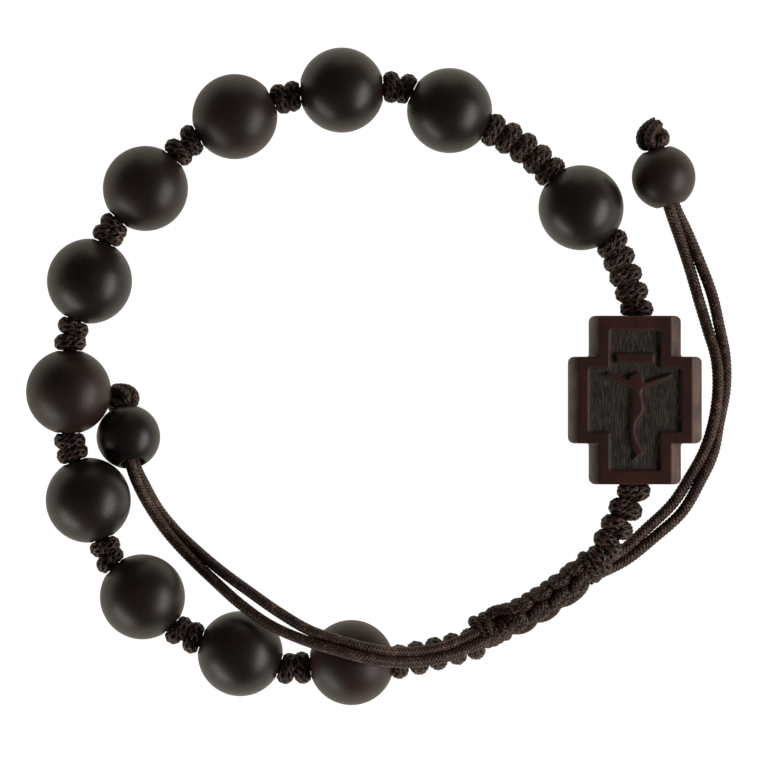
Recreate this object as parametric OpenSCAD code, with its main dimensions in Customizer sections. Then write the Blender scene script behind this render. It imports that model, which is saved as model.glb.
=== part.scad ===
// Rosary bracelet on a knotted cord, lying flat as a closed loop on the surface it rests on.
// The string carries one single bead, a decade of beads and a carved cross.
// Both ends of the cord come back out of a sliding knot as two pairs of tails with stop beads.

/* [String] */
// Diameter of the round beads
bead_d = 10; // [8:0.1:12]
// Length of the string that shows between the decade's beads, which the loop grows with
short_l = 2.9; // [2.4:0.1:4.2]
// Diameter of the cord's run through the beads, both strands together
thread_d = 1.9; // [1.4:0.1:2.4]
// Gap round the thread in each bore
bore_gap = 0.15; // [0.05:0.05:0.4]

/* [Knots] */
// Diameter of the snake knots between the beads
knot_d = 4; // [3.2:0.1:4.8]
// Lean of each turn of a knot, in degrees
turn_lean = 10; // [0:1:14]
// Thickness of the knots' core round the thread
core_wall = 0.35; // [0.2:0.05:0.6]
// Gap between a knot and its neighbours
knot_gap = 0.06; // [0.02:0.01:0.2]

/* [Sliding knot] */
// Length of the sliding knot
sliding_l = 16.2; // [12:0.2:20]
// Width of the sliding knot
sliding_d = 4.9; // [4.6:0.1:6]
// Height of the sliding knot's middle above the surface
sliding_z = 3; // [2.6:0.1:3.6]
// How far the string leaves the sliding knot's middle, down at one end and up at the other
sliding_shift = 0.85; // [0.4:0.05:1]

/* [Cross] */
// Height of the cross
cross_h = 19.8; // [16:0.1:24]
// Width of the cross over both arms
cross_w = 15.7; // [13:0.1:19]
// Width of the upright
upright_w = 10.8; // [8.8:0.1:12]
// Height of the arms
arm_h = 10.2; // [8:0.1:13]
// Thickness of the cross
cross_t = 6; // [4.5:0.1:8]
// Radius of the outer corners, seen from the front
corner_r = 0.7; // [0.3:0.1:1.2]
// Radius of the rounded shoulders down both sides
shoulder_r = 1.2; // [0.5:0.1:1.6]
// Depth of the carved pocket
pocket_depth = 0.45; // [0.2:0.05:1]
// Width of the rim beside the pocket
rim_side = 2.4; // [1.8:0.1:2.8]
// Width of the rim at the ends of the upright
rim_end = 1.6; // [1:0.1:2.4]
// Width of the rim above and below the arms
rim_arm = 1.3; // [0.8:0.1:2]
// Radius of the pocket's corners
pocket_r = 0.35; // [0.1:0.05:0.6]
// Height of the carved figure
figure_h = 10.2; // [8:0.1:11.4]
// Width of the plain title bar over the figure
title_w = 4.4; // [3:0.1:5]
// Height of the title bar
title_h = 1; // [0.6:0.1:1.6]

/* [Tails] */
// Diameter of one strand of the cord
cord_d = 1.25; // [0.9:0.05:1.4]
// Diameter of the stop beads
stop_bead_d = 7.5; // [6.2:0.1:9]
// Diameter of the end knots
end_knot_d = 3.4; // [2.8:0.1:3.5]

/* [Hidden] */
$fn = 64;
// Half thickness of a turn as a share of the spacing, under a half to keep turns apart in a bend,
// and its largest as a share of the knot's radius
turn_share = 0.44;
// How far out of the cross or the sliding knot the thread bends
bend_out = 0.3;
cord_sides = 8;
// Spacing and lean of the sliding knot's turns, and half thickness of its end wraps
sliding_pitch = 2.7;
sliding_lean = 20;
wrap_half = 0.75;

// Middle of each bead, in hundredths of the usual distance from bead to bead
bead_spots = [
    [197.4, 153.5], [77.8, 241.9], [-20.3, 260.5], [-117.6, 236.4],
    [-198.9, 171], [-249.8, 86.7], [-268.8, -14], [-250.9, -112.6],
    [-201.6, -200.5], [-112.6, -252.2], [-11.5, -260.3]
];
// Middle of the sliding knot, in the same hundredths, and its turn from the X axis in degrees
sliding_spot = [157.8, -207.6];
sliding_turn = 30.8;
// Middle of the cross up or down from the X axis, in the same hundredths
cross_spot = -21.5;

// Turns of each knot, from the one after the first bead round to the one before it
knot_turns = [5, 2, 2, 2, 2, 2, 2, 2, 2, 2, 5, 5, 5];

// Pairs of tails: x, y and z of the middle of the pair, and how far each strand lies from it.
// The last three rows run straight through the stop bead, whose middle is the second of them.
right_route = [
    [27.4, -22.5, 1.2, 0.65], [30.4, -20.9, 0.8, 0.65], [33.7, -18.3, 0.7, 0.75],
    [36.8, -15.5, 0.7, 0.8], [38.9, -12.2, 0.7, 0.75], [40.6, -8.9, 0.7, 0.65],
    [41.7, -5.3, 0.7, 0.65], [42.1, -1.5, 0.7, 0.65], [41.8, 2.2, 0.7, 0.65],
    [41.1, 5.8, 0.7, 0.75], [40, 9.4, 0.7, 0.85], [38.9, 13, 1, 0.8], [37.5, 16.6, 2.3, 0.7],
    [36.1, 19.9, 3.76, 0.65], [35.2, 23.4, 3.76, 0.65], [34.3, 26.9, 3.76, 0.65]
];
left_route = [
    [13.2, -30.8, 4.8, 0.65], [9.8, -32.2, 5.9, 0.65], [6.5, -32.8, 7.1, 0.65],
    [3.3, -32.7, 8.9, 0.65], [0.4, -32.1, 10.6, 0.65], [-2.8, -31.2, 10.6, 0.65],
    [-6.5, -30, 10.1, 0.9], [-10.3, -28.1, 9.2, 1.25], [-13.8, -25.7, 7.8, 1.3],
    [-17, -23.2, 5.3, 1.15], [-19.9, -20.7, 2.8, 0.85], [-22.4, -18.2, 1.4, 0.7],
    [-24.5, -15.6, 1.8, 0.65], [-26.1, -12.9, 3.6, 0.65], [-27.1, -10.4, 4.96, 0.65],
    [-27.7, -7.1, 3.76, 0.65], [-28.3, -3.8, 2.56, 0.65]
];

// Outline of the carved figure's arms and body about the middle of the cross,
// in hundredths of the figure's height
figure_outline = [
    [-33, 32], [-22, 28], [-9, 23], [10, 20], [24, 25], [40, 30], [42, 28], [29, 22], [19, 18],
    [10, 14], [7, 12], [6, 6], [9, -4], [9, -9], [7, -16], [1, -24], [-1, -31], [-1, -38],
    [2, -47], [7, -57], [9, -61], [3, -64], [-4, -70], [1, -62], [-2, -54], [-4, -41],
    [-5, -32], [-4, -16], [-3, 1], [-3, 15], [-11, 17], [-24, 23], [-33, 28]
];
// Middle and radius of the figure's plain round head, and middle of the title bar's height
head_spot = [1, 23];
head_r = 8.3;
title_spot = 48.5;

bead_r = bead_d / 2;
knot_r = knot_d / 2;
bore_r = thread_d / 2 + bore_gap;
core_r = bore_r + core_wall;
bead_spacing = bead_d + short_l;
bead_count = len(bead_spots);
sliding_at = bead_count;
cross_at = bead_count + 1;
piece_count = bead_count + 2;
// How far the flat of a bead's bore mouth lies inside its round
bead_lead = bead_r - sqrt(pow(bead_r, 2) - pow(knot_r / 2, 2));
stop_bore_r = cord_d + bore_gap;
// From the middle of the loop to the outside of its outermost bead, which the cross lies as far out as
loop_reach = max([for (spot = bead_spots) -spot[0]]) * bead_spacing / 100 + bead_r;

function unit(v) = v / norm(v);
function level(v) = unit([v[0], v[1], 0]);
function on_string(spot, z) = [spot[0] * bead_spacing / 100, spot[1] * bead_spacing / 100, z];
function swung(v, angle) = [
    v[0] * cos(angle) - v[1] * sin(angle),
    v[0] * sin(angle) + v[1] * cos(angle),
    v[2]
];

// Middle of each piece on the string: the beads, then the sliding knot, then the cross
function middle(i) =
    i < bead_count ? on_string(bead_spots[i], bead_r) :
    i == sliding_at ? on_string(sliding_spot, sliding_z) :
    [loop_reach - cross_w / 2, cross_spot * bead_spacing / 100, cross_t / 2];

// From the middle of a piece to where the thread bends outside it
function reach(i) =
    i < bead_count ? bead_r :
    i == sliding_at ? (sliding_l / 2 + bend_out) / norm([sliding_axis[0], sliding_axis[1]]) :
    cross_h / 2 + bend_out;

// From that bend back to the face that the next knot sits against
function lead(i) = i < bead_count ? bead_lead : bend_out;

sliding_axis = unit(swung([sliding_l / 2, 0, sliding_shift], sliding_turn));

// Direction of the thread through a piece, on its way round the string
function axis(i) =
    i == sliding_at ? sliding_axis :
    i == cross_at ? [0, 1, 0] :
    let (
        before = i == 0 ? way_out(cross_at) : middle(i - 1),
        after = i == bead_count - 1 ? way_in(sliding_at) : middle(i + 1)
    )
    level(after - before);

function way_in(i) = middle(i) - axis(i) * reach(i);
function way_out(i) = middle(i) + axis(i) * reach(i);

thread_route = [for (i = [0:piece_count - 1]) each [way_in(i), way_out(i)]];

function name_of(kind, i) = str(kind, i < 9 ? "_0" : "_", i + 1);

bead_names = [for (i = [0:bead_count - 1]) name_of("bead", i)];
knot_names = [for (i = [0:piece_count - 1]) name_of("knot", i)];
tail_names = ["right_tail_inner", "right_tail_outer", "left_tail_inner", "left_tail_outer"];
tail_routes = [right_route, right_route, left_route, left_route];
tail_sides = [1, -1, -1, 1];

wood = "#2a1e19";
cross_wood = "#3b1d18";
cord_brown = "#2b1c15";

// Stands children up along a direction from a point
module along(point, direction) {
    translate(point)
        rotate([0, acos(direction[2]), atan2(direction[1], direction[0])])
            children();
}

// One turn of a knot: a ring of the outer radius and half the thickness given
module turn_ring(outer_r, half) {
    rotate_extrude($fn = 40)
        translate([outer_r - half, 0])
            circle(half, $fn = 24);
}

module drilled_bead(point, direction, diameter, hole_r) {
    along(point, direction)
        difference() {
            sphere(d = diameter);
            cylinder(h = 2 * diameter, r = hole_r, center = true);
        }
}

module bead(i) {
    color(wood)
        drilled_bead(middle(i), axis(i), bead_d, bore_r);
}

// Snake knot between a piece and the next one, straight along the thread
module knot(i) {
    next = (i + 1) % piece_count;
    run = way_in(next) - way_out(i);
    direction = unit(run);
    turns = knot_turns[i];
    slope_out = 1 / (direction * level(axis(i)));
    slope_in = 1 / (direction * level(axis(next)));
    room = norm(run) + lead(i) * slope_out + lead(next) * slope_in;
    slopes = slope_out + slope_in;
    lean = sin(turn_lean);
    free_room = room - slopes * (knot_r * lean + knot_gap);
    fitted = turn_share * free_room / (turns - 1 + slopes * turn_share * (1 - lean));
    half = min(fitted, turn_share * knot_r);
    inset = knot_gap + knot_r * lean + half * (1 - lean);
    spacing = (room - slopes * inset) / (turns - 1);
    start = way_out(i) + direction * slope_out * (inset - lead(i));
    core_l = spacing * (turns - 1);
    color(cord_brown)
        difference() {
            union() {
                for (k = [0:turns - 1]) {
                    share = k / (turns - 1);
                    facing = unit(level(axis(i)) * (1 - share) + level(axis(next)) * share);
                    along(start + direction * spacing * k, swung(facing, turn_lean))
                        turn_ring(knot_r, half);
                }
                along(start, direction)
                    cylinder(h = core_l, r = core_r);
            }
            along(start, direction)
                translate([0, 0, -knot_d])
                    cylinder(h = core_l + 2 * knot_d, r = bore_r);
        }
}

// Square knots over the cords, as fat leaning turns between an end wrap on each side
module sliding_knot() {
    outer = sliding_d / 2;
    body_l = sliding_l - 4 * wrap_half - 2 * knot_gap;
    turns = round(body_l / sliding_pitch);
    lean = sin(sliding_lean);
    share = turn_share * cos(sliding_lean);
    spacing = (body_l - 2 * outer * lean) / (turns - 1 + 2 * share * (1 - lean));
    way = level(sliding_axis);
    color(cord_brown)
        difference() {
            union() {
                for (k = [0:turns - 1])
                    along(middle(sliding_at) + way * spacing * (k - (turns - 1) / 2), swung(way, sliding_lean))
                        turn_ring(outer, share * spacing);
                for (end = [-1, 1])
                    along(middle(sliding_at) + way * end * (sliding_l / 2 - wrap_half), way)
                        turn_ring(outer - knot_gap, wrap_half);
                along(middle(sliding_at), way)
                    cylinder(h = sliding_l - 2 * wrap_half, r = outer - 0.4, center = true);
            }
            along(middle(sliding_at), sliding_axis)
                cylinder(h = 2 * sliding_l, r = bore_r, center = true);
        }
}

module rounded_rect(w, h, r) {
    square([w - 2 * r, h], center = true);
    square([w, h - 2 * r], center = true);
    for (x = [-1, 1], y = [-1, 1])
        translate([x * (w / 2 - r), y * (h / 2 - r)])
            circle(r);
}

// One bar of the cross, with rounded shoulders down its two sides
module cross_bar(w, h) {
    intersection() {
        linear_extrude(cross_t)
            rounded_rect(w, h, corner_r);
        translate([0, h / 2, cross_t / 2])
            rotate([90, 0, 0])
                linear_extrude(h)
                    rounded_rect(w, cross_t, shoulder_r);
    }
}

// Plain flat relief left standing in the pocket: the figure and the bare title bar over it
module relief() {
    scale(figure_h / 100) {
        polygon(figure_outline);
        translate(head_spot)
            circle(head_r);
    }
    translate([0, title_spot * figure_h / 100])
        square([title_w, title_h], center = true);
}

module pocket() {
    difference() {
        union() {
            rounded_rect(upright_w - 2 * rim_side, cross_h - 2 * rim_end, pocket_r);
            rounded_rect(cross_w - 2 * rim_side, arm_h - 2 * rim_arm, pocket_r);
        }
        relief();
    }
}

module cross() {
    foot = middle(cross_at) - [0, 0, cross_t / 2];
    color(cross_wood)
        translate(foot)
            difference() {
                union() {
                    cross_bar(upright_w, cross_h);
                    cross_bar(cross_w, arm_h);
                }
                translate([0, 0, cross_t - pocket_depth])
                    linear_extrude(2 * pocket_depth)
                        pocket();
                translate([0, 0, cross_t / 2])
                    rotate([90, 0, 0])
                        cylinder(h = 2 * cross_h, r = bore_r, center = true);
            }
}

// Ring of points round the middle of a cord, square to its run
function cord_ring(point, tangent, r) =
    let (
        side = unit(cross([0, 0, 1], tangent)),
        up = cross(unit(tangent), side)
    )
    [
        for (k = [0:cord_sides - 1])
            let (a = 360 * (k + 0.5) / cord_sides)
            point + r * (cos(a) * side + sin(a) * up)
    ];

// Tube of one cord strand along its points, either closed on itself or ended flat
module cord_tube(route, d, closed = false) {
    count = len(route);
    last = count - 1;
    rings = [
        for (i = [0:last])
            let (
                before = route[closed ? (i + count - 1) % count : max(i - 1, 0)],
                after = route[closed ? (i + 1) % count : min(i + 1, last)],
                into = i == 0 && !closed ? after - route[i] : unit(route[i] - before),
                out = i == last && !closed ? route[i] - before : unit(after - route[i])
            )
            cord_ring(route[i], unit(unit(into) + unit(out)), d / 2)
    ];
    sides = [
        for (i = [0:closed ? last : last - 1], k = [0:cord_sides - 1])
            let (
                j = (i + 1) % count,
                m = (k + 1) % cord_sides
            )
            [i * cord_sides + k, i * cord_sides + m, j * cord_sides + m, j * cord_sides + k]
    ];
    ends = closed ? [] : [
        [for (k = [cord_sides - 1:-1:0]) k],
        [for (k = [0:cord_sides - 1]) last * cord_sides + k]
    ];
    polyhedron([for (ring = rings) each ring], concat(sides, ends));
}

module thread() {
    color(cord_brown)
        cord_tube(thread_route, thread_d, closed = true);
}

function place(row) = [row[0], row[1], row[2]];

// One strand of a pair, to one side of the pair's middle
function strand(route, side) = [
    for (i = [0:len(route) - 1])
        let (
            before = route[max(i - 1, 0)],
            after = route[min(i + 1, len(route) - 1)],
            way = level(after - before)
        )
        place(route[i]) + side * route[i][3] * [-way[1], way[0], 0]
];

module tail(i) {
    color(cord_brown)
        cord_tube(strand(tail_routes[i], tail_sides[i]), cord_d);
}

function bead_place(route) = place(route[len(route) - 2]);
function tail_end(route) = place(route[len(route) - 1]);
function tail_axis(route) = unit(tail_end(route) - bead_place(route));

module stop_bead(route) {
    color(wood)
        drilled_bead(bead_place(route), tail_axis(route), stop_bead_d, stop_bore_r);
}

// End knot of a pair: two leaning turns over a filled middle, and the cut ends of the cord
module end_knot(route) {
    way = tail_axis(route);
    half = 0.42 * end_knot_d / 2;
    spacing = 1.25 * half;
    start = tail_end(route) + way * (knot_gap + end_knot_d / 2 * sin(turn_lean) + half);
    color(cord_brown) {
        for (k = [0, 1])
            along(start + way * spacing * k, swung(way, turn_lean))
                turn_ring(end_knot_d / 2, half);
        along(start - way * half / 2, way)
            cylinder(h = spacing + half, r = end_knot_d / 2 - half);
        along(start, way)
            cylinder(h = spacing + 1.5 * cord_d, r = 0.6 * cord_d);
    }
}

cross();
sliding_knot();
thread();
for (i = [0:bead_count - 1]) bead(i);
for (i = [0:piece_count - 1]) knot(i);
for (i = [0:3]) tail(i);
stop_bead(right_route);  // right_stop_bead
stop_bead(left_route);  // left_stop_bead
end_knot(right_route);  // right_end_knot
end_knot(left_route);  // left_end_knot
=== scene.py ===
import math
import random
import bmesh
import bpy
from mathutils import Matrix, Vector


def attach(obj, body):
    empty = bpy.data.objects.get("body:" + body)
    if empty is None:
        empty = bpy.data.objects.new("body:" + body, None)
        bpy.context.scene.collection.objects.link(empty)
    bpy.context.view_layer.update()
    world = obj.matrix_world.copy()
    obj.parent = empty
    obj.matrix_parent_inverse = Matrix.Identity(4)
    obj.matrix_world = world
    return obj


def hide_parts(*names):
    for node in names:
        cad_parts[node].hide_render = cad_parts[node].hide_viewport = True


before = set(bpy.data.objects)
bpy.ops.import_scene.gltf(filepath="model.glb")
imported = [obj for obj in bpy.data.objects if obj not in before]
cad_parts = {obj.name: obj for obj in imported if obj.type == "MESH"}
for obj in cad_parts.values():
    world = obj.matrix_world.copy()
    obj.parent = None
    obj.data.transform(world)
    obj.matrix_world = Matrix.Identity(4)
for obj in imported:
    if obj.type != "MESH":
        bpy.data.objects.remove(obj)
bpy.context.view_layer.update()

scene = bpy.context.scene
up = Vector((0, 0, 1))
print("frame loaded")


# camera

cameraView = dict(place=(0.00187, -0.00042, 1.005), lens=403.6, sensor=36, near=0.05, far=20)


def addCamera():
    data = bpy.data.cameras.new("camera")
    data.lens = cameraView["lens"]
    data.sensor_width = cameraView["sensor"]
    data.clip_start = cameraView["near"]
    data.clip_end = cameraView["far"]
    camera = bpy.data.objects.new("camera", data)
    camera.location = cameraView["place"]  # straight down, the photo's top at +Y
    scene.collection.objects.link(camera)
    scene.camera = camera


addCamera()
print("camera placed")


# node graphs

class Wire:
    def __init__(self, graph, socket):
        self.graph, self.socket = graph, socket

    def of(self, name):
        return Wire(self.graph, self.socket.node.outputs[name])

    def joined(self, operation, first, second):
        vectors = [isVector(first), isVector(second)]
        if not any(vectors):
            return self.graph.add("ShaderNodeMath", dict(operation=operation), {0: first, 1: second})
        if operation == "MULTIPLY" and not all(vectors):
            vector, number = (first, second) if vectors[0] else (second, first)
            return self.graph.add("ShaderNodeVectorMath", dict(operation="SCALE"), {0: vector, 3: number})
        return self.graph.add("ShaderNodeVectorMath", dict(operation=operation), {0: first, 1: second})

    def __add__(self, other):
        return self.joined("ADD", self, other)

    def __radd__(self, other):
        return self.joined("ADD", other, self)

    def __sub__(self, other):
        return self.joined("SUBTRACT", self, other)

    def __rsub__(self, other):
        return self.joined("SUBTRACT", other, self)

    def __mul__(self, other):
        return self.joined("MULTIPLY", self, other)

    def __rmul__(self, other):
        return self.joined("MULTIPLY", other, self)

    def __truediv__(self, other):
        return self.joined("DIVIDE", self, other)

    def __rtruediv__(self, other):
        return self.joined("DIVIDE", other, self)

    def __pow__(self, other):
        return self.joined("POWER", self, other)


def isVector(value):
    if isinstance(value, Wire):
        return value.socket.type == "VECTOR"
    return isinstance(value, (tuple, Vector))


class Graph:
    def __init__(self, tree):
        self.tree = tree

    def add(self, kind, settings=None, sockets=None, output=0):
        node = self.tree.nodes.new(kind)
        for name, value in (settings or {}).items():
            if name == "stops":
                stops = node.color_ramp.elements
                for place, colour in value[1:-1]:
                    stops.new(place)
                for stop, (place, colour) in zip(stops, value):
                    stop.position, stop.color = place, colour
            else:
                setattr(node, name, value)
        for name, value in (sockets or {}).items():
            for part in value if isinstance(value, list) else [value]:  # a list links several to one socket
                if isinstance(part, Wire):
                    self.tree.links.new(part.socket, node.inputs[name])
                else:
                    node.inputs[name].default_value = part
        return Wire(self, node.outputs[output]) if node.outputs else None

    def attribute(self, name, output="Fac"):
        return self.add("ShaderNodeAttribute", dict(attribute_name=name), output=output)

    def noise(self, place, scale, detail):
        return self.add("ShaderNodeTexNoise", sockets={"Vector": place, "Scale": scale, "Detail": detail})

    def ranged(self, value, low, high, least=0.0, most=1.0):
        return self.add("ShaderNodeMapRange", sockets={
            "Value": value, "From Min": low, "From Max": high, "To Min": least, "To Max": most})

    def mixed(self, share, first, second):  # one colour with another
        return self.add("ShaderNodeMix", dict(data_type="RGBA"), {0: share, 6: first, 7: second}, 2)

    def stretched(self, place, shares):
        return self.add("ShaderNodeVectorMath", dict(operation="MULTIPLY"), {0: place, 1: shares})

    def stored(self, geometry, name, value, kind="FLOAT"):
        return self.add("GeometryNodeStoreNamedAttribute", dict(data_type=kind, domain="POINT"), {
            "Geometry": geometry, "Name": name, "Value": value})

    def finished(self, geometry, finish):
        whole = self.add("GeometryNodeSetShadeSmooth", sockets={"Geometry": geometry, "Shade Smooth": True})
        whole = self.add("GeometryNodeRealizeInstances", sockets={"Geometry": whole})
        whole = self.add("GeometryNodeSetMaterial", sockets={"Geometry": whole, "Material": finish})
        self.add("NodeGroupOutput", sockets={0: whole})
        return self.tree


def newMaterial(name):
    material = bpy.data.materials.new(name)
    material.use_nodes = True
    graph = Graph(material.node_tree)
    graph.tree.nodes.clear()
    return material, graph


def newTree(name, inputs):
    tree = bpy.data.node_groups.new(name, "GeometryNodeTree")
    tree.interface.new_socket("Geometry", in_out="INPUT", socket_type="NodeSocketGeometry")
    for label, kind, value in inputs:
        socket = tree.interface.new_socket(label, in_out="INPUT", socket_type="NodeSocket" + kind)
        if value is not None:
            socket.default_value = value
    tree.interface.new_socket("Geometry", in_out="OUTPUT", socket_type="NodeSocketGeometry")
    graph = Graph(tree)
    return graph, graph.add("NodeGroupInput")


def plainMesh(piece, finish):  # what the modifiers make becomes the piece's own mesh
    evaluated = bpy.context.evaluated_depsgraph_get()
    mesh = bpy.data.meshes.new_from_object(
        piece.evaluated_get(evaluated), preserve_all_data_layers=True, depsgraph=evaluated)
    piece.modifiers.clear()
    piece.data = mesh
    mesh.name = piece.name
    mesh.materials.clear()
    mesh.materials.append(finish)
    mesh.polygons.foreach_set("material_index", [0] * len(mesh.polygons))
    return mesh


def grown(name, source, tree, values):  # the tree's result on a source mesh
    piece = bpy.data.objects.new(name, source)
    scene.collection.objects.link(piece)
    modifier = piece.modifiers.new("grow", "NODES")
    modifier.node_group = tree
    for item in tree.interface.items_tree:
        if item.in_out == "INPUT" and item.name in values:
            modifier[item.identifier] = values[item.name]
    plainMesh(piece, values["Finish"])
    return piece


def settle(piece, node):
    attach(piece, "root")
    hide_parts(node)
    return piece


# cord finish: its colour holds painted shade between the strands and painted glints

cordFinish = dict(
    # deep and dark are painted shade for the gaps between strands; random tone spreads them a little
    # elsewhere
    deep=(0.0012, 0.0008, 0.0007, 1), dark=(0.014, 0.0068, 0.005, 1), brown=(0.078, 0.032, 0.022, 1),
    paintedGlint=(0.36, 0.21, 0.15, 1), glint=0.7, glintOver=(0.60, 0.67), gapShadingOver=(0.5, 1.0, 0.15),
    roughness=0.36, gloss=0.4, patchScale=900, fibreScale=5400, bump=0.3, relief=0.00005)


def cordMaterial():
    look = cordFinish
    material, graph = newMaterial("waxedCord")
    place = graph.add("ShaderNodeTexCoord", output="Object")
    crest = graph.attribute("crest")
    patch = graph.noise(place, look["patchScale"], 2)
    fibre = graph.noise(place, look["fibreScale"], 1)
    # painted shade: the colour darkens from each strand's crest into the gaps beside it
    gapShading = graph.ranged(crest, *look["gapShadingOver"])
    tone = gapShading * 0.68 + patch * 0.36 + (fibre - 0.5) * 0.5
    stops = [(0.36, look["deep"]), (0.58, look["dark"]), (0.86, look["brown"])]
    body = graph.add("ShaderNodeValToRGB", dict(stops=stops), {0: tone})
    # painted glints: a light tan is mixed into the colour on fibre specks, a little more on the crests, as
    # small highlights on the wax
    glint = graph.ranged(fibre * 0.6 + patch * 0.3 + crest * 0.1, *look["glintOver"])
    colour = graph.mixed(glint * look["glint"], body, look["paintedGlint"])
    bump = graph.add("ShaderNodeBump", sockets={
        "Strength": look["bump"], "Distance": look["relief"], "Height": fibre})
    shader = graph.add("ShaderNodeBsdfPrincipled", sockets={
        "Base Color": colour, "Roughness": look["roughness"] + fibre * 0.2, "Normal": bump,
        "Specular IOR Level": look["gloss"]})
    graph.add("ShaderNodeOutputMaterial", sockets={"Surface": shader})
    return material


waxedCord = cordMaterial()


# braided cord

braid = dict(  # shares of the diameter; a strand is that wide and thick when there are as many as usual
    plait=2.08, ridge=0.026, middle=0.405, wide=0.285, thick=0.13, core=0.395,
    usual=8, flatter=0.6, coreSides=8, coreStep=4)


def braidTree():
    graph, given = newTree("braidedCord", [
        ("Diameter", "Float", 0.00125), ("Strands", "Int", 8), ("Around", "Int", 6),
        ("Step", "Float", 0.00012), ("Finish", "Material", None)])
    diameter, step, strands = given.of("Diameter"), given.of("Step"), given.of("Strands")
    run = graph.add("GeometryNodeMeshToCurve", sockets={0: given})
    core = graph.add("GeometryNodeResampleCurve", dict(mode="LENGTH"), {
        "Curve": run, "Length": step * braid["coreStep"]})
    coreRound = graph.add("GeometryNodeCurvePrimitiveCircle", sockets={
        "Resolution": braid["coreSides"], "Radius": diameter * braid["core"]})
    core = graph.add("GeometryNodeCurveToMesh", sockets={
        "Curve": core, "Profile Curve": coreRound, "Fill Caps": True})

    copies = graph.add("GeometryNodeDuplicateElements", dict(domain="SPLINE"), {
        "Geometry": run, "Amount": strands})
    lines = graph.add("GeometryNodeResampleCurve", dict(mode="LENGTH"), {"Curve": copies, "Length": step})
    number = copies.of("Duplicate Index")
    half = graph.add("ShaderNodeMath", dict(operation="FLOOR"), {0: number / 2})
    turn = 1 - 2 * (number - half * 2)  # one way round or the other
    along = graph.add("GeometryNodeSplineParameter", output="Length")
    lap = along / (diameter * braid["plait"]) * (2 * math.pi)
    angle = turn * lap + half * (4 * math.pi) / strands
    cosine = graph.add("ShaderNodeMath", dict(operation="COSINE"), {0: angle})
    sine = graph.add("ShaderNodeMath", dict(operation="SINE"), {0: angle})
    weave = graph.add("ShaderNodeMath", dict(operation="COSINE"), {0: lap * strands / 2})
    normal = graph.add("GeometryNodeInputNormal")
    tangent = graph.add("GeometryNodeInputTangent")
    across = graph.add("ShaderNodeVectorMath", dict(operation="CROSS_PRODUCT"), {0: tangent, 1: normal})
    outward = normal * cosine + across * sine
    away = diameter * (braid["middle"] + turn * weave * braid["ridge"])  # over and under in turn
    kept = graph.stored(lines, "outward", outward, "FLOAT_VECTOR")
    placed = graph.add("GeometryNodeSetPosition", sockets={"Geometry": kept, "Offset": outward * away})
    facing = graph.add("GeometryNodeInputNamedAttribute", dict(data_type="FLOAT_VECTOR"), {"Name": "outward"})
    turned = graph.add("GeometryNodeSetCurveNormal", dict(mode="FREE"), {"Curve": placed, "Normal": facing})

    oval = graph.add("GeometryNodeCurvePrimitiveCircle", sockets={
        "Resolution": given.of("Around"), "Radius": diameter})
    outer = graph.add("ShaderNodeSeparateXYZ", sockets={0: graph.add("GeometryNodeInputPosition")})
    # this crest value also puts painted shade and painted glints into the cord's colour
    oval = graph.stored(oval, "crest", outer / diameter * 0.5 + 0.5)  # 0 inside to 1 outside
    fine = braid["usual"] / strands
    shape = graph.add("ShaderNodeCombineXYZ", sockets={
        "X": fine ** braid["flatter"] * braid["thick"], "Y": fine * braid["wide"], "Z": 1.0})
    oval = graph.add("GeometryNodeTransform", sockets={"Geometry": oval, "Scale": shape})
    sheath = graph.add("GeometryNodeCurveToMesh", sockets={
        "Curve": turned, "Profile Curve": oval, "Fill Caps": True})

    whole = graph.add("GeometryNodeJoinGeometry", sockets={0: [sheath, core]})
    whole = graph.add("GeometryNodeRemoveAttribute", sockets={"Geometry": whole, "Name": "outward"})
    return graph.finished(whole, given.of("Finish"))


braidedCord = braidTree()


def runs(name, lines, closed=False):  # open or closed lines of points as one mesh of edges
    points, edges = [], []
    for line in lines:
        first = len(points)
        points += [tuple(p) for p in line]
        edges += [(i, i + 1) for i in range(first, len(points) - 1)]
        if closed:
            edges.append((len(points) - 1, first))
    mesh = bpy.data.meshes.new(name)
    mesh.from_pydata(points, edges, [])
    return mesh


def plaited(name, lines, diameter, cord, closed=False):
    return grown(name, runs(name, lines, closed), braidedCord, {
        "Diameter": diameter, "Strands": cord["strands"], "Around": cord["around"], "Step": cord["step"],
        "Finish": waxedCord})


def smoothRun(points, parts=8):  # a smooth line through the points
    ends = [points[0] * 2 - points[1]] + list(points) + [points[-1] * 2 - points[-2]]
    line = []
    for i in range(1, len(ends) - 2):
        a, b, c, d = ends[i - 1:i + 3]
        for k in range(parts):
            t = k / parts
            line.append(0.5 * (
                2 * b + (c - a) * t + (2 * a - 5 * b + 4 * c - d) * t ** 2
                + (3 * b - a - 3 * c + d) * t ** 3))
    return line + [points[-1]]


def runLength(line):
    return sum((b - a).length for a, b in zip(line, line[1:]))


def level(v):
    return Vector((v.x, v.y, 0)).normalized()


def leftOf(v):
    return Vector((-v.y, v.x, 0))


# tails

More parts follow.
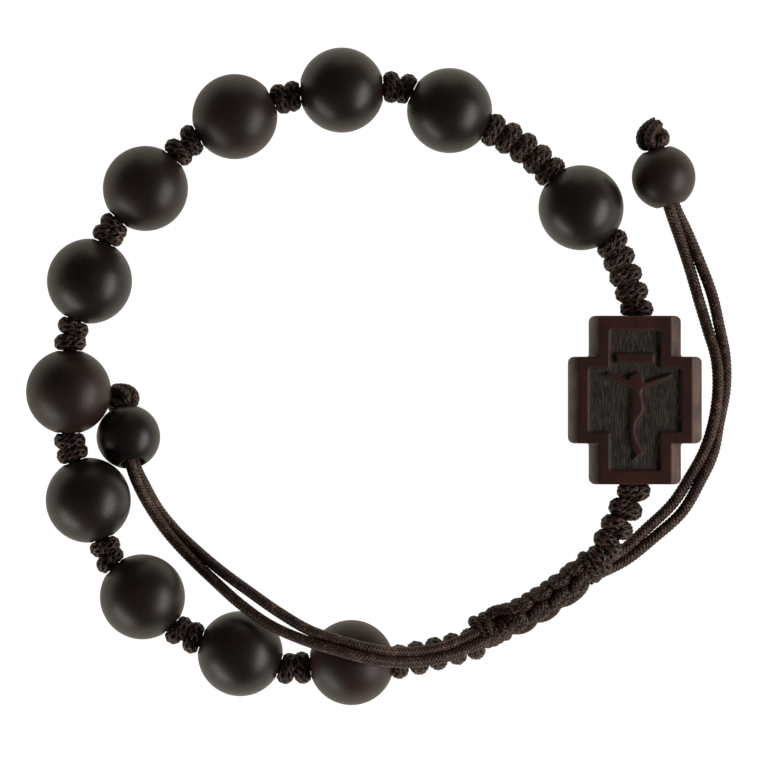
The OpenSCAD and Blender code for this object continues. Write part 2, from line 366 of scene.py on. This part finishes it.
# rows hold x, y and z of the middle of a pair, and how far each strand lies from it;
# the last two are the middle of the stop bead and a place near its far mouth
rightTails = dict(
    rows=[
        (0.0275, -0.0227, 0.0012, 0.00062), (0.0306, -0.0211, 0.001, 0.00064),
        (0.0338, -0.0184, 0.0008, 0.00074), (0.0369, -0.0155, 0.00075, 0.0008),
        (0.039, -0.0121, 0.0009, 0.0007), (0.0406, -0.0089, 0.0011, 0.0006),
        (0.0415, -0.0053, 0.0013, 0.0004), (0.0421, -0.0015, 0.00125, 0.0005),
        (0.042, 0.0022, 0.0011, 0.0006), (0.04115, 0.0058, 0.00075, 0.00076),
        (0.0402, 0.0094, 0.00075, 0.00088), (0.039, 0.013, 0.001, 0.00074),
        (0.0376, 0.0166, 0.0023, 0.0006), (0.0362, 0.0199, 0.00376, 0.00042),
        (0.0352, 0.0234, 0.00376, 0.00042), (0.0343, 0.0269, 0.00376, 0.00042),
    ],
    inward=(-0.0012, -0.0007, 0.0006), braid=0.00134, touching=0.00065)
leftTails = dict(
    rows=[
        (0.0132, -0.0308, 0.0048, 0.00065), (0.0098, -0.0322, 0.0059, 0.00065),
        (0.0065, -0.0328, 0.0071, 0.00065), (0.0033, -0.0328, 0.0089, 0.00065),
        (0.0003, -0.0323, 0.0106, 0.00065), (-0.0029, -0.03145, 0.0106, 0.00065),
        (-0.0066, -0.03025, 0.0101, 0.0007), (-0.0104, -0.02835, 0.0092, 0.00095),
        (-0.0139, -0.02595, 0.0078, 0.00095), (-0.0171, -0.02345, 0.0053, 0.00075),
        (-0.02005, -0.0209, 0.0028, 0.00062), (-0.0226, -0.01835, 0.0015, 0.0005),
        (-0.0246, -0.0157, 0.0018, 0.0004), (-0.0261, -0.0129, 0.0036, 0.0004),
        (-0.0271, -0.0104, 0.00496, 0.0003), (-0.0277, -0.0071, 0.00376, 0.0003),
        (-0.0283, -0.0038, 0.00256, 0.0003),
    ],
    inward=(0.0012, 0.0007, -0.0006), braid=0.00127, touching=0.00062)
tailCord = dict(
    diameter=0.00125, nearer=0.00005, past=0.0008, closing=0.0002, parts=8,
    step=0.00013, strands=12, around=5)
tailStrands = [  # name, node, pair and the side it lies on
    ("rightTailInner", "right_tail_inner", rightTails, 1),
    ("rightTailOuter", "right_tail_outer", rightTails, -1),
    ("leftTailInner", "left_tail_inner", leftTails, -1),
    ("leftTailOuter", "left_tail_outer", leftTails, 1)]


def strandPoints(pair, side):
    rows, line = pair["rows"], []
    for i, (x, y, z, half) in enumerate(rows):
        before, after = rows[max(i - 1, 0)], rows[min(i + 1, len(rows) - 1)]
        way = level(Vector(after[:3]) - Vector(before[:3]))
        apart = half - tailCord["nearer"]
        # strands that come nearer than their thickness lie one over the other
        over = math.sqrt(max(0, pair["touching"] ** 2 - apart ** 2))
        line.append(Vector((x, y, z)) + leftOf(way) * side * apart + up * side * over)
    start = line[0] + Vector(pair["inward"])
    onward = (line[-1] - line[-2]).normalized() * tailCord["past"]
    end = line[-1] + onward - leftOf(way) * side * tailCord["closing"]
    return [start] + line + [end]


def makeTails():
    made = {}
    for name, node, pair, side in tailStrands:
        line = smoothRun(strandPoints(pair, side), tailCord["parts"])
        piece = plaited(name, [line], pair["braid"], tailCord)
        made[name] = (settle(piece, node), line)
    return made


tails = makeTails()
print("tails made", {name: round(runLength(line), 4) for name, (piece, line) in tails.items()})


# string

beadSpots = [
    (0.025465, 0.01980), (0.010036, 0.031205), (-0.002619, 0.033605), (-0.01517, 0.030496),
    (-0.025658, 0.022059), (-0.032224, 0.011184), (-0.034675, -0.001806), (-0.032366, -0.014525),
    (-0.026006, -0.025865), (-0.014525, -0.032534), (-0.001484, -0.033579)]
stringPlan = dict(
    beadRadius=0.005, slidingMiddle=(0.020356, -0.02678, 0.003), slidingTurn=30.8, slidingHalf=0.0081,
    slidingRise=0.00085, crossMiddle=(0.031825, -0.002774, 0.003), crossHalf=0.0099, bendOut=0.0003)

# the middle of each piece on the string, its axis, and where the string goes in and comes out
middles = [Vector((x, y, stringPlan["beadRadius"])) for x, y in beadSpots]
middles += [Vector(stringPlan["slidingMiddle"]), Vector(stringPlan["crossMiddle"])]
slidingAt, crossAt = len(beadSpots), len(beadSpots) + 1
slidingTurn = Matrix.Rotation(math.radians(stringPlan["slidingTurn"]), 3, "Z")
slidingWay = slidingTurn @ Vector((stringPlan["slidingHalf"], 0, stringPlan["slidingRise"])).normalized()
slidingReach = (stringPlan["slidingHalf"] + stringPlan["bendOut"]) / Vector(slidingWay[:2]).length
crossReach = stringPlan["crossHalf"] + stringPlan["bendOut"]
reaches = [stringPlan["beadRadius"]] * len(beadSpots) + [slidingReach, crossReach]
slidingIn = middles[slidingAt] - slidingWay * slidingReach
crossOut = middles[crossAt] + Vector((0, crossReach, 0))
stops = [crossOut] + middles[:slidingAt] + [slidingIn]
axes = [level(after - before) for before, after in zip(stops, stops[2:])] + [slidingWay, Vector((0, 1, 0))]
waysIn = [m - a * r for m, a, r in zip(middles, axes, reaches)]
waysOut = [m + a * r for m, a, r in zip(middles, axes, reaches)]

threadCord = dict(
    diameter=0.00095, apart=0.00046, lay=0.009, pointStep=0.0005, step=0.0008, strands=8, around=4)


def threadLine():
    ends, line = [], []
    for start, end in zip(waysIn, waysOut):
        ends += [start, end]
    for a, b in zip(ends, ends[1:] + ends[:1]):
        parts = max(1, round((b - a).length / threadCord["pointStep"]))
        line += [a.lerp(b, k / parts) for k in range(parts)]
    return line


def makeThread():  # two cords laid round each other
    line = threadLine()
    laps = round(runLength(line + [line[0]]) / threadCord["lay"])
    first, second = [], []
    for i, point in enumerate(line):
        way = (line[(i + 2) % len(line)] - line[i - 2]).normalized()
        side = leftOf(level(way))
        over = way.cross(side)
        angle = 2 * math.pi * laps * i / len(line)
        offset = (side * math.cos(angle) + over * math.sin(angle)) * threadCord["apart"]
        first.append(point + offset)
        second.append(point - offset)
    piece = plaited("threadStrands", (first, second), threadCord["diameter"], threadCord, closed=True)
    settle(piece, "thread")


makeThread()
print("thread made")


# snake knots

knotCords = dict(
    turns=[5, 2, 2, 2, 2, 2, 2, 2, 2, 2, 5, 5, 5],
    thickness=(0.0021, 0.0023), radius=(0.002, 0.00215), inset=(0.00078, 0.0006),  # of short and long knots
    endInset=0.0008, lean=4, start=86, sweep=372, dive=0.00105, drift=0.0007, gap=0.00003,
    bows={  # how far out a knot lies, at its start, middle and end
        0: (0.0003, 0.0007, 0.0003), 1: (0.0003,) * 3, 2: (-0.0004,) * 3, 9: (0.0003,) * 3,
        10: (0.0003, 0.0004, 0.0003), 11: (-0.0003, 0, 0.0001), 12: (0.0004, 0.0004, 0.0001)},
    radiusPlay=(-0.00005, 0.00004), leanPlay=3, startPlay=14,
    braidRadius=0.54, step=0.00022, strands=16, around=4, seed=7)
turnPath = dict(points=41, tuckFrom=0.68, tuckPower=1.4, drifting=0.4)


def turnLine(centre, way, radius, lean, start, turn):  # one turn of cord round the core, its ends tucked in
    facing = Matrix.Rotation(math.radians(lean), 3, "Z") @ way
    side = leftOf(level(facing))
    over = facing.cross(side)
    tuckFrom, drifting = turnPath["tuckFrom"], turnPath["drifting"]
    line = []
    for k in range(turnPath["points"]):
        share = k / (turnPath["points"] - 1)
        angle = math.radians(start + share * turn["sweep"])
        tuck = max(0, abs(share - 0.5) * 2 - tuckFrom) / (1 - tuckFrom)
        out = radius - turn["dive"] * tuck ** turnPath["tuckPower"]
        drift = facing * turn["drift"] * (share - 0.5) * (drifting + (1 - drifting) * tuck)
        line.append(centre + (side * math.cos(angle) + over * math.sin(angle)) * out + drift)
    return line


def bowed(bow, share):  # the curve through a start, a middle and an end
    first, middle, last = bow
    return (first * (1 - share) * (1 - 2 * share) + middle * 4 * share * (1 - share)
            + last * share * (2 * share - 1))


def pressed(piece, middles, radius, gap):  # what reaches into a bead is laid against it
    for vertex in piece.data.vertices:
        for middle in middles:
            away = vertex.co - middle
            if away.length < radius + gap:
                vertex.co = middle + away * ((radius + gap) / away.length)


def pressedOnCross(piece, gap):
    middle, half = middles[crossAt].y, stringPlan["crossHalf"] + gap
    for vertex in piece.data.vertices:
        if abs(vertex.co.y - middle) < half:
            vertex.co.y = middle + math.copysign(half, vertex.co.y - middle)


def knotLines(i, after, size, turns, dice):
    plan = knotCords
    start, end = waysOut[i], waysIn[after]
    direction = (end - start).normalized()
    leads = [0 if k < slidingAt else stringPlan["bendOut"] for k in (i, after)]
    insets = [plan["inset"][size] if k < slidingAt else plan["endInset"] for k in (i, after)]
    slopes = [1 / direction.dot(level(axes[k])) for k in (i, after)]
    room = (end - start).length + leads[0] * slopes[0] + leads[1] * slopes[1]
    spacing = (room - insets[0] * slopes[0] - insets[1] * slopes[1]) / (turns - 1)
    first = start + direction * slopes[0] * (insets[0] - leads[0])
    bow = plan["bows"].get(i, (0, 0, 0))
    lines = []
    for k in range(turns):
        share = k / (turns - 1)
        way = level(level(axes[i]) * (1 - share) + level(axes[after]) * share)
        centre = first + direction * spacing * k - leftOf(way) * bowed(bow, share)
        radius = plan["radius"][size] - plan["thickness"][size] * plan["braidRadius"]
        radius += dice.uniform(*plan["radiusPlay"])
        lean = plan["lean"] + dice.uniform(-plan["leanPlay"], plan["leanPlay"])
        begin = plan["start"] + dice.uniform(-plan["startPlay"], plan["startPlay"])
        lines.append(turnLine(centre, way, radius, lean, begin, plan))
    return lines


def makeKnots():
    plan = knotCords
    dice = random.Random(plan["seed"])
    for i, turns in enumerate(plan["turns"]):
        after = (i + 1) % len(plan["turns"])
        size = 1 if turns > 2 else 0
        lines = knotLines(i, after, size, turns, dice)
        piece = plaited("snakeKnot%02d" % (i + 1), lines, plan["thickness"][size], plan)
        beadsBeside = [middles[k] for k in (i, after) if k < slidingAt]
        pressed(piece, beadsBeside, stringPlan["beadRadius"], plan["gap"])
        if crossAt in (i, after):
            pressedOnCross(piece, plan["gap"])
        settle(piece, "knot_%02d" % (i + 1))


makeKnots()
print("knots made")


# sliding knot

slidingCords = dict(  # places along, left and up in millimetres
    diameter=0.00138, step=0.0002, strands=12, around=4, parts=5,
    upper=dict(starts=[-3.75, -1.15, 1.47, 4.45], stretch=[1, 1, 1, 0.68], cords=[
        [(0.4, 1.38, -0.35), (0.5, 1.4, 0.35), (0.85, 1.22, 1.0), (1.4, 1.02, 1.42), (2.0, 0.88, 1.62),
         (2.55, 0.74, 1.55), (2.85, 0.6, 1.0)],
        [(1.55, 1.4, -0.35), (1.68, 1.42, 0.35), (1.95, 1.28, 0.98), (2.35, 1.15, 1.38), (2.75, 0.95, 1.52),
         (3.0, 0.8, 1.25), (3.1, 0.7, 0.8)]]),
    lower=dict(starts=[-4.46, -1.53, 1.35, 4.34], stretch=[1, 0.98, 1, 1], cords=[
        [(-0.25, -0.85, 0.5), (0.2, -0.72, 1.2), (0.8, -0.52, 1.52), (1.5, -0.36, 1.6), (2.15, -0.2, 1.42),
         (2.55, 0.1, 0.85)],
        [(0.3, -0.95, 0.3), (0.8, -1.05, 0.85), (1.3, -1.0, 1.2), (1.85, -0.84, 1.35), (2.3, -0.62, 1.15),
         (2.6, -0.35, 0.5)]]),
    edge=dict(starts=[-4.05, -1.05, 2.15], stretch=[1, 1.06, 1.4], cords=[
        [(0, -0.8, 0.5), (0.4, -1.2, 0.3), (1.0, -1.42, 0.1), (1.5, -1.46, 0.0), (2.0, -1.42, -0.1),
         (2.55, -1.2, -0.3), (2.95, -0.8, -0.5)]]),
    arch=dict(starts=[0], stretch=[1], cords=[
        [(-5.8, 1.05, 0.1), (-5.5, 1.5, 0.7), (-4.93, 1.7, 0.95), (-4.1, 1.58, 1.15), (-3.4, 1.25, 1.42),
         (-2.85, 0.85, 1.5), (-2.5, 0.55, 0.95)],
        [(-4.5, 1.2, -0.7), (-4.1, 1.5, 0.1), (-3.6, 1.5, 0.75), (-3.1, 1.3, 1.1), (-2.7, 1.1, 1.15),
         (-2.45, 0.9, 0.8)],
        [(-4.25, 0.55, 0.7), (-3.8, 0.22, 1.3), (-3.1, 0.0, 1.5), (-2.4, -0.05, 1.45), (-1.9, 0.05, 0.9)],
        [(-5.75, 0.4, 0.8), (-5.95, -0.3, 1.45), (-6.0, -0.9, 1.3), (-5.95, -1.35, 0.6), (-5.9, -1.42, -0.3)],
        [(-4.75, 0.35, 0.8), (-4.85, -0.25, 1.5), (-4.95, -0.85, 1.38), (-5.0, -1.3, 0.7),
         (-5.0, -1.4, -0.2)]]),
    wraps=[(-7.35, 1.52, 3), (-6.4, 1.52, -7), (7.5, 1.4, 0)],  # place, radius and lean
    wrapStart=250, wrapTurn=dict(sweep=400, dive=0.0004, drift=0.0002),
    core=[(1.05, 0), (0.35, 0.6), (-0.55, 0.45), (0.35, -0.6), (-0.55, -0.45)],
    corePlaces=(-7.9, -6, -4, -2, 0, 2, 4, 6, 7.9), bend=(-0.2, 0.7), reach=7)


def makeSlidingKnot():
    plan = slidingCords
    way = level(slidingWay)
    middle = middles[slidingAt]

    def put(x, y, z, turn=1):
        bend = plan["bend"][0] + plan["bend"][1] * (x / plan["reach"]) ** 2
        return middle + (way * x + leftOf(way) * (y + bend) + up * z * turn) * 0.001

    lines = []
    for turn in (1, -1):  # the front, then the back
        for row in (plan["upper"], plan["lower"], plan["edge"], plan["arch"]):
            for start, stretch in zip(row["starts"], row["stretch"]):
                for cord in row["cords"]:
                    points = [put(start + a * stretch, b, c, turn) for a, b, c in cord]
                    lines.append(smoothRun(points, plan["parts"]))
    for x, radius, lean in plan["wraps"]:
        lines.append(turnLine(put(x, 0, 0), way, radius * 0.001, lean, plan["wrapStart"], plan["wrapTurn"]))
    for y, z in plan["core"]:
        lines.append([put(x, y, z) for x in plan["corePlaces"]])
    piece = plaited("slidingKnot", lines, plan["diameter"], plan)
    settle(piece, "sliding_knot")


makeSlidingKnot()
print("sliding knot made")


# end knots

stopBeads = dict(radius=0.00375, bore=0.0014, mouth=0.00025, warmth=(0.9, 0.1), turns=(2.0, 3.0))
endKnots = dict(
    diameter=0.0013, step=0.00015, strands=12, around=5, sunk=0.0001,
    cords=[  # along the tail, to its left and up, in millimetres
        [(0.1, 0.6, -0.3), (0.7, 1.35, 0.2), (1.5, 1.4, 0.6), (2.2, 0.9, 0.7), (2.65, 0.1, 0.5),
         (2.85, -0.65, 0.3)],
        [(0.2, 0.1, 0.8), (0.7, 0.5, 1.3), (1.3, 0.5, 1.4), (1.9, 0.05, 1.2), (2.35, -0.5, 0.85),
         (2.5, -0.95, 0.5)],
        [(0.2, -0.1, 1.0), (0.45, -0.75, 1.0), (0.95, -1.2, 0.55), (1.45, -1.0, 0.3), (1.7, -0.4, 0.5)],
        [(0.2, -0.5, -0.8), (0.5, -1.1, -0.4), (1.1, -1.25, -0.2), (1.6, -0.9, -0.4)],
        [(0.2, 0.6, -0.9), (0.9, 1.0, -0.9), (1.6, 0.6, -1.0), (2.1, -0.2, -0.8), (2.3, -0.8, -0.4)],
        [(-0.2, 0, 0), (1, 0, 0), (1.9, -0.1, 0), (2.4, -0.5, 0.1)],
    ])


def makeEndKnot(name, node, pair, hand, tall):
    plan = endKnots
    last, bead = Vector(pair["rows"][-1][:3]), Vector(pair["rows"][-2][:3])
    way = (last - bead).normalized()
    side = leftOf(level(way)) * hand
    over = way.cross(side) * hand
    first = bead + way * (stopBeads["radius"] - plan["sunk"])
    lines = []
    for cord in plan["cords"]:
        lines.append(smoothRun([first + (way * a * tall + side * b + over * c) * 0.001 for a, b, c in cord]))
    piece = plaited(name, lines, plan["diameter"], plan)
    pressed(piece, [bead], stopBeads["radius"], knotCords["gap"])
    return settle(piece, node)


rightEndKnot = makeEndKnot("rightEndKnot", "right_end_knot", rightTails, 1, 1.0)
leftEndKnot = makeEndKnot("leftEndKnot", "left_end_knot", leftTails, -1, 0.85)
print("end knots made")


# beads

beadWood = dict(
    dark=(0.013, 0.0095, 0.0075, 1), red=(0.038, 0.0145, 0.0105, 1), pore=(0.003, 0.002, 0.0016, 1),
    tintOver=(0.45, 0.95), poreOver=(0.62, 0.72), poreShare=0.6, roughness=0.29, gloss=0.5,
    cloudScale=260, fibreScale=3800, fibreGrain=(1, 1, 0.12), bump=0.22, relief=0.00004)
turnedBeads = dict(
    bore=0.0011, mouth=0.00028, lip=(75, 50, 25, 0), lipDepth=0.9, around=96, arcParts=40,
    warmth=[0.0, 0.15, 0.1, 0.75, 0.55, 0.2, 0.8, 0.15, 0.4, 0.2, 0.9], mostTurn=6, seed=11)


def beadMaterial():
    look = beadWood
    material, graph = newMaterial("darkBeadWood")
    grain = graph.attribute("grain", "Vector")
    warmth = graph.attribute("warmth")
    cloud = graph.noise(grain, look["cloudScale"], 3)
    fibre = graph.noise(graph.stretched(grain, look["fibreGrain"]), look["fibreScale"], 2)
    tint = graph.ranged(cloud + warmth * 0.35, *look["tintOver"])
    pores = graph.ranged(fibre, *look["poreOver"])
    colour = graph.mixed(tint, look["dark"], look["red"])
    colour = graph.mixed(pores * look["poreShare"], colour, look["pore"])
    bump = graph.add("ShaderNodeBump", sockets={
        "Strength": look["bump"], "Distance": look["relief"], "Height": fibre})
    roughness = look["roughness"] + fibre * 0.1 + cloud * 0.06 + warmth * 0.1
    shader = graph.add("ShaderNodeBsdfPrincipled", sockets={
        "Base Color": colour, "Roughness": roughness, "Normal": bump, "Specular IOR Level": look["gloss"]})
    graph.add("ShaderNodeOutputMaterial", sockets={"Surface": shader})
    return material


def beadTree():  # turns a closed outline round its hole
    graph, given = newTree("turnedBead", [
        ("Bore", "Float", 0.0011), ("Around", "Int", 96), ("Warmth", "Float", 0.0),
        ("Finish", "Material", None)])
    bore = given.of("Bore")
    outline = graph.add("GeometryNodeMeshToCurve", sockets={0: given})
    inward = graph.add("ShaderNodeCombineXYZ", sockets={"X": 0 - bore})
    outline = graph.add("GeometryNodeSetPosition", sockets={"Geometry": outline, "Offset": inward})
    ring = graph.add("GeometryNodeCurvePrimitiveCircle", sockets={
        "Resolution": given.of("Around"), "Radius": bore})
    bead = graph.add("GeometryNodeCurveToMesh", sockets={
        "Curve": ring, "Profile Curve": outline, "Fill Caps": False})
    bead = graph.stored(bead, "grain", graph.add("GeometryNodeInputPosition"), "FLOAT_VECTOR")
    bead = graph.stored(bead, "warmth", given.of("Warmth"))
    return graph.finished(bead, given.of("Finish"))


darkBeadWood = beadMaterial()
turnedBead = beadTree()


def beadOutline(size):  # distance from the axis and place along it, once round the section
    radius, bore, mouth = size["radius"], size["bore"], size["mouth"]
    parts = turnedBeads["arcParts"]
    half = math.sqrt(radius ** 2 - (bore + mouth) ** 2)
    end = math.asin((bore + mouth) / radius)
    angles = [end + (math.pi - 2 * end) * k / parts for k in range(parts + 1)]
    arc = [(radius * math.sin(a), radius * math.cos(a)) for a in angles]
    lip = []
    for degrees in turnedBeads["lip"]:
        a = math.radians(degrees)
        depth = mouth * turnedBeads["lipDepth"] * (1 - math.sin(a))
        lip.append((bore + mouth * (1 - math.cos(a)), -half + depth))
    return arc + lip + [(x, -z) for x, z in reversed(lip)]


def makeBead(name, node, middle, way, size, warmth, turn):
    outline = runs(name, [[(x, z, 0) for x, z in beadOutline(size)]], closed=True)
    piece = grown(name, outline, turnedBead, {
        "Bore": size["bore"], "Around": turnedBeads["around"], "Warmth": warmth, "Finish": darkBeadWood})
    facing = way.to_track_quat("Z", "Y").to_matrix().to_4x4()
    piece.data.transform(Matrix.Translation(middle) @ facing @ Matrix.Rotation(turn, 4, "Z"))
    return settle(piece, node)


def makeBeads():
    dice = random.Random(turnedBeads["seed"])
    size = dict(radius=stringPlan["beadRadius"], bore=turnedBeads["bore"], mouth=turnedBeads["mouth"])
    for i, warmth in enumerate(turnedBeads["warmth"]):
        makeBead("bead%02d" % (i + 1), "bead_%02d" % (i + 1), middles[i], axes[i], size, warmth,
                 dice.uniform(0, turnedBeads["mostTurn"]))


def makeStopBead(name, node, pair, number):
    place, last = Vector(pair["rows"][-2][:3]), Vector(pair["rows"][-1][:3])
    return makeBead(name, node, place, (last - place).normalized(), stopBeads,
                    stopBeads["warmth"][number], stopBeads["turns"][number])


makeBeads()
rightStopBead = makeStopBead("rightStopBead", "right_stop_bead", rightTails, 0)
leftStopBead = makeStopBead("leftStopBead", "left_stop_bead", leftTails, 1)
print("beads made")


# cross

crossWood = dict(
    dark=(0.028, 0.0095, 0.0075, 1), red=(0.088, 0.021, 0.014, 1), worn=(0.175, 0.103, 0.077, 1),
    floor=(0.016, 0.0115, 0.009, 1), line=(0.15, 0.109, 0.077, 1), roughness=0.45, relief=0.00008,
    redOver=(0.7, 1.35), sheenPatchesOver=(0.6, 1.05, 0.1, 0.85), lineOver=(0.48, 0.70), edgeHighlightShare=0.6,
    cloudScale=420, cloudGrain=(1, 0.1, 1), broadScale=380, fibreScale=14000, fibreGrain=(1, 0.06, 1))
carvedCross = dict(
    merge=0.000002, voxel=0.00013, softness=0.5, smooth=4,
    top=0.006, band=0.001, upperPart=0.004, pocketDepth=0.00045, slack=0.0001,
    upright=(0.003, 0.0083), arms=(0.00545, 0.0038),  # half width and half height of the pocket
    floorFrom=0.45, floorOver=0.3, brimAt=0.22, brimOver=0.18, endHighlightWidth=0.0003,
    halfUpright=0.0054, halfArms=0.00785, armTop=0.0051, endTop=0.0099,
    round=0.0012, shoulder=0.0020, flat=0.42, sheenSpread=8)


def crossMaterial():
    look = crossWood
    material, graph = newMaterial("redCrossWood")
    place = graph.add("ShaderNodeTexCoord", output="Object")
    carved, worn, brim = graph.attribute("carved"), graph.attribute("worn"), graph.attribute("brim")
    cloud = graph.noise(graph.stretched(place, look["cloudGrain"]), look["cloudScale"], 3)
    broad = graph.noise(place, look["broadScale"], 3)
    fibre = graph.noise(graph.stretched(place, look["fibreGrain"]), look["fibreScale"], 3)
    face = graph.mixed(graph.ranged(cloud + broad, *look["redOver"]), look["dark"], look["red"])
    # painted sheen: a lighter colour over the shoulders, in random patches, where they catch the light
    sheenPatches = graph.ranged(broad + cloud * 0.6, *look["sheenPatchesOver"])
    face = graph.mixed(worn * sheenPatches, face, look["worn"])
    # painted highlight: the same lighter colour as a thin line along the pocket's brim and the upper edges
    face = graph.mixed(brim * look["edgeHighlightShare"], face, look["worn"])
    floor = graph.mixed(graph.ranged(fibre, *look["lineOver"]), look["floor"], look["line"])
    colour = graph.mixed(carved, face, floor)
    bump = graph.add("ShaderNodeBump", sockets={
        "Strength": 0.12 + 0.75 * carved, "Distance": look["relief"], "Height": fibre})
    roughness = look["roughness"] + 0.25 * carved + fibre * 0.08
    shader = graph.add("ShaderNodeBsdfPrincipled", sockets={
        "Base Color": colour, "Roughness": roughness, "Normal": bump})
    graph.add("ShaderNodeOutputMaterial", sockets={"Surface": shader})
    return material


def crossMarks(x, y, z, farEnd):  # how much a point is pocket floor, and how much painted highlight it gets along the pocket's brim and the upper edges of the top end and arms
    plan = carvedCross
    floor = pocketEdge = endEdge = 0
    pockets = (plan["upright"], plan["arms"])
    inside = any(abs(x) < w + plan["slack"] and y < h + plan["slack"] for w, h in pockets)
    if inside and z > plan["top"] - plan["band"]:
        deep = (plan["top"] - z) / plan["pocketDepth"]
        floor = min(max((deep - plan["floorFrom"]) / plan["floorOver"], 0), 1)
        # painted highlight: a thin line part way down the pocket's wall
        pocketEdge = max(0, 1 - abs(deep - plan["brimAt"]) / plan["brimOver"])
    # painted highlight along the upper edges of the top end and the arms, not the lower ones
    if farEnd and z > plan["upperPart"]:
        end = plan["endTop"] if abs(x) < plan["halfUpright"] else plan["armTop"]
        endEdge = max(0, 1 - abs(end - y) / plan["endHighlightWidth"])
    return floor, max(pocketEdge, endEdge)


def shoulderPlace(x, y, z):  # makes the rounded shoulder steeper and flatter, and says how much painted sheen it gets
    plan = carvedCross
    r, b, flat, middle = plan["round"], plan["shoulder"], plan["flat"], plan["top"] / 2
    half = plan["halfArms"] if y < plan["armTop"] else plan["halfUpright"]
    dx, dz = (x - (half - r)) / r, (abs(z - middle) - (middle - r)) / r
    if dx <= 0:
        return x, z, 0
    if dz <= 0:
        return x, middle + (z - middle) * (middle - b) / (middle - r), 0
    size, turn = math.hypot(dx, dz), math.atan2(dx, dz)
    t = turn / (math.pi / 2)
    newX = size * (math.sin(turn) * (1 - flat) + t * flat)
    newZ = size * (math.cos(turn) * (1 - flat) + (1 - t) * flat)
    # painted sheen over most of the shoulder's curve, fading out where it meets the face and the side
    worn = min(1, min(t, 1 - t) * plan["sheenSpread"])
    return half - r + r * newX, middle + math.copysign(middle - b + b * newZ, z - middle), worn


def makeCross():
    plan = carvedCross
    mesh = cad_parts["cross"].data.copy()
    shell = bmesh.new()
    shell.from_mesh(mesh)
    bmesh.ops.remove_doubles(shell, verts=shell.verts, dist=plan["merge"])
    shell.to_mesh(mesh)
    shell.free()
    piece = bpy.data.objects.new("carvedCross", mesh)
    scene.collection.objects.link(piece)
    remesh = piece.modifiers.new("remesh", "REMESH")
    remesh.mode = "VOXEL"
    remesh.voxel_size = plan["voxel"]
    remesh.use_smooth_shade = True
    soften = piece.modifiers.new("soften", "SMOOTH")
    soften.factor = plan["softness"]
    soften.iterations = plan["smooth"]
    made = plainMesh(piece, crossMaterial())
    middle = middles[crossAt]
    places, marks = [], {"carved": [], "worn": [], "brim": []}
    for vertex in made.vertices:
        x, y, z = vertex.co.x - middle.x, abs(vertex.co.y - middle.y), vertex.co.z
        carved, brim = crossMarks(x, y, z, vertex.co.y > middle.y)
        newX, newZ, worn = shoulderPlace(abs(x), y, z)
        places += [middle.x + math.copysign(newX, x), vertex.co.y, newZ]
        marks["carved"].append(carved)
        marks["worn"].append(worn)
        marks["brim"].append(brim)
    for name, values in marks.items():
        made.attributes.new(name, "FLOAT", "POINT").data.foreach_set("value", values)
    made.vertices.foreach_set("co", places)
    made.update()
    settle(piece, "cross")


makeCross()
print("cross made")


# tails' lengths and spaced points are worked out here, and nothing uses them

for name, (piece, line) in tails.items():
    parts = tailCord["parts"]
    runLength(line)
    line[::parts] + [line[-1]]


# floor and light

studio = dict(
    floorSize=6, floorColour=(0.85, 0.85, 0.85, 1), floorRoughness=0.9, floorWhite=1.05,
    floorGlow=0.6, floorTint=(1, 0.93, 0.76, 1), white=(1, 1, 1, 1), background=0.05, backdrop=1.0,
    target=(0, 0, 0.004),
    lamps=[  # place, width, height, power and colour
        ((0.48, -0.11, 0.26), 0.62, 0.28, 1.95, (1, 0.99, 0.97)),
        ((-0.38, -0.38, 0.08), 0.52, 0.20, 1.0, (1, 0.98, 0.92)),
        ((0.03, 0.6, 0.07), 0.30, 0.25, 0.16, (1, 0.86, 0.62)),
    ])


def addFloor():
    size = studio["floorSize"] / 2
    mesh = bpy.data.meshes.new("floor")
    corners = [(-size, -size, 0), (size, -size, 0), (size, size, 0), (-size, size, 0)]
    mesh.from_pydata(corners, [], [(0, 1, 2, 3)])
    floor = bpy.data.objects.new("floor", mesh)
    scene.collection.objects.link(floor)
    material, graph = newMaterial("whiteTable")
    seen = graph.add("ShaderNodeLightPath")  # white to the camera, dimmer and a little warm to the object
    lit = graph.add("ShaderNodeBsdfPrincipled", sockets={
        "Base Color": studio["floorColour"], "Roughness": studio["floorRoughness"],
        "Emission Color": studio["floorTint"], "Emission Strength": studio["floorGlow"]})
    white = graph.add("ShaderNodeEmission", sockets={
        "Color": studio["white"], "Strength": studio["floorWhite"]})
    both = graph.add("ShaderNodeMixShader", sockets={0: seen, 1: lit, 2: white})
    graph.add("ShaderNodeOutputMaterial", sockets={"Surface": both})
    mesh.materials.append(material)


def addLamps():
    for i, (place, width, height, power, colour) in enumerate(studio["lamps"]):
        data = bpy.data.lights.new("softbox%d" % (i + 1), "AREA")
        data.shape = "ELLIPSE"
        data.size, data.size_y = width, height
        data.energy, data.color = power, colour
        lamp = bpy.data.objects.new("softbox%d" % (i + 1), data)
        lamp.location = place
        lamp.rotation_euler = (Vector(studio["target"]) - Vector(place)).to_track_quat("-Z", "Y").to_euler()
        scene.collection.objects.link(lamp)


def addWorld():
    world = bpy.data.worlds.new("studio")
    world.use_nodes = True
    scene.world = world
    graph = Graph(world.node_tree)
    graph.tree.nodes.clear()
    path = graph.add("ShaderNodeLightPath")  # white to the camera, faint to everything else
    around = graph.add("ShaderNodeBackground", sockets={
        "Color": studio["white"], "Strength": studio["background"]})
    seen = graph.add("ShaderNodeBackground", sockets={
        "Color": studio["white"], "Strength": studio["backdrop"]})
    both = graph.add("ShaderNodeMixShader", sockets={0: path, 1: around, 2: seen})
    graph.add("ShaderNodeOutputWorld", sockets={"Surface": both})


addFloor()
addLamps()
addWorld()
scene.view_settings.view_transform = "Standard"
scene.view_settings.look = "None"
print("studio ready")
